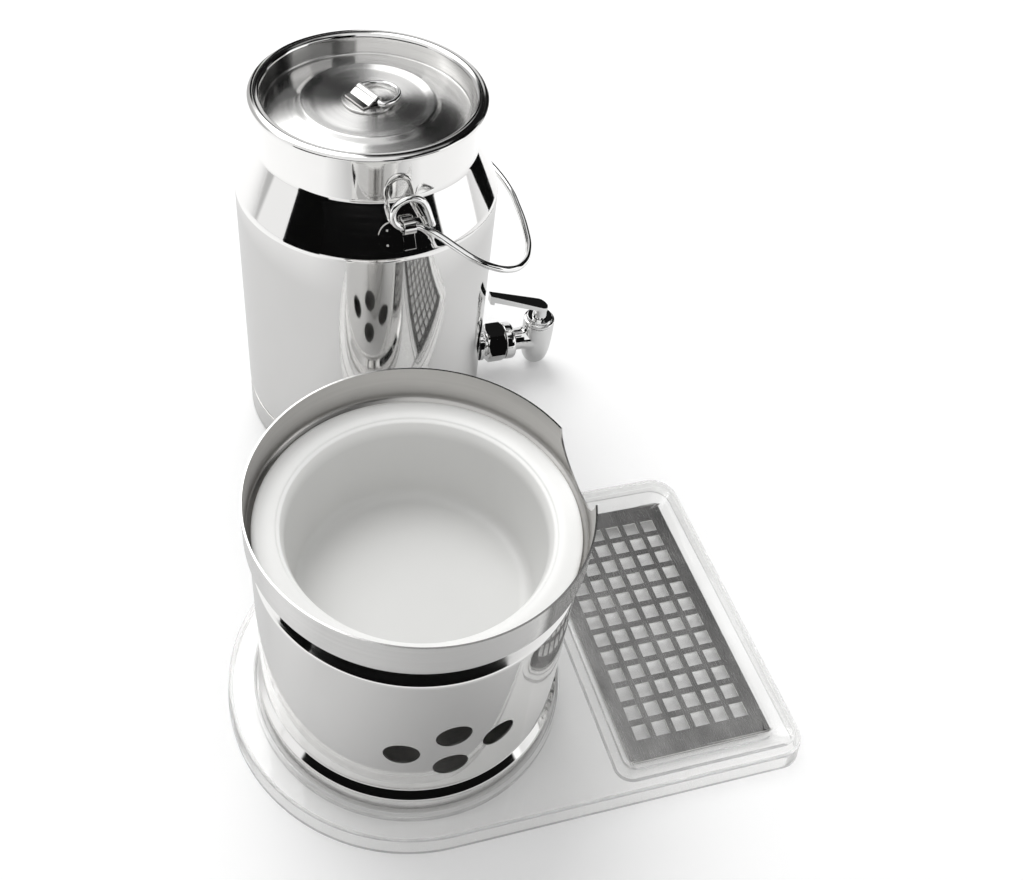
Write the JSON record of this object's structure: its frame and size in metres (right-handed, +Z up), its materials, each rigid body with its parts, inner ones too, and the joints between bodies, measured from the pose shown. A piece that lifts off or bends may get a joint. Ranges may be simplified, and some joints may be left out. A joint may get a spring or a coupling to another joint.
{
  "type": "milk dispenser",
  "caption": "Steel milk churn with a lever tap, lift-off lid and swinging wire bail, beside a drum stand with an ice basin on a tray with a drip grille.",
  "frame": {"origin": "middle of the bounding box's underside, on the surface that the tray and the churn stand on", "axes": "+X from the stand towards the drip grille and along the churn's tap, +Y from the tray back to the churn, +Z up"},
  "size_m": [0.329, 0.4751, 0.2592],
  "materials": {
    "tray_plastic": "clear, slightly cloudy moulded plastic",
    "polished": "mirror-polished stainless steel",
    "brushed": "finely brushed stainless steel",
    "bright": "bright chrome plate",
    "white_plastic": "satin white moulded plastic",
    "seal_rubber": "matt black rubber"
  },
  "bodies": {
    "tray": {"base_tray": "tray_plastic"},
    "grille": {"drip_grille": "brushed"},
    "stand": {"stand_drum": "polished", "stand_bottom_plate": "brushed"},
    "basin": {"ice_basin": "white_plastic"},
    "churn": {"churn_body": "polished", "churn_foot_ring": "brushed", "ear_plate_front": "polished", "ear_strap_front": "polished", "ear_plate_back": "polished", "ear_strap_back": "polished", "tap_back_nut": "bright", "tap_inner_seal": "seal_rubber", "tap_outer_seal": "seal_rubber", "tap_shank": "bright", "tap_union_nut": "bright", "tap_lock_ring": "bright", "tap_body": "bright", "tap_bonnet": "bright", "tap_stem_seal": "seal_rubber"},
    "lid": {"lid_pan": "brushed", "lid_ring_plate": "brushed", "lid_ring_strap": "brushed"},
    "lid_ring": {"lid_ring": "bright"},
    "bail": {"bail": "bright"},
    "tap_handle": {"tap_plug": "bright", "tap_lever": "bright"}
  },
  "joints": [
    {"name": "drip_grille_lift", "type": "slide", "parent": "tray", "child": "grille", "axis": [0, 0, 1], "range_m": [0, 0.06]},
    {"name": "stand_lift", "type": "slide", "parent": "tray", "child": "stand", "axis": [0, 0, 1], "range_m": [0, 0.06]},
    {"name": "basin_lift", "type": "slide", "parent": "stand", "child": "basin", "axis": [0, 0, 1], "range_m": [0, 0.1]},
    {"name": "churn_lift", "type": "slide", "parent": "tray", "child": "churn", "axis": [0, 0, 1], "range_m": [0, 0.12]},
    {"name": "lid_lift", "type": "slide", "parent": "churn", "child": "lid", "axis": [0, 0, 1], "range_m": [0, 0.08]},
    {"name": "lid_ring_swing", "type": "hinge", "parent": "lid", "child": "lid_ring", "pos_m": [-0.02488, 0.11986, 0.25514], "axis": [0.4151, -0.9098, 0], "range_deg": [0, 170]},
    {"name": "bail_swing", "type": "hinge", "parent": "churn", "child": "bail", "pos_m": [-0.0255, 0.12122, 0.22428], "axis": [0.0839, -0.9965, 0], "range_deg": [0, 206]},
    {"name": "tap_turn", "type": "hinge", "parent": "churn", "child": "tap_handle", "pos_m": [0.1115, 0.12122, 0.0276], "axis": [0, 0, 1], "range_deg": [0, 90]}
  ]
}
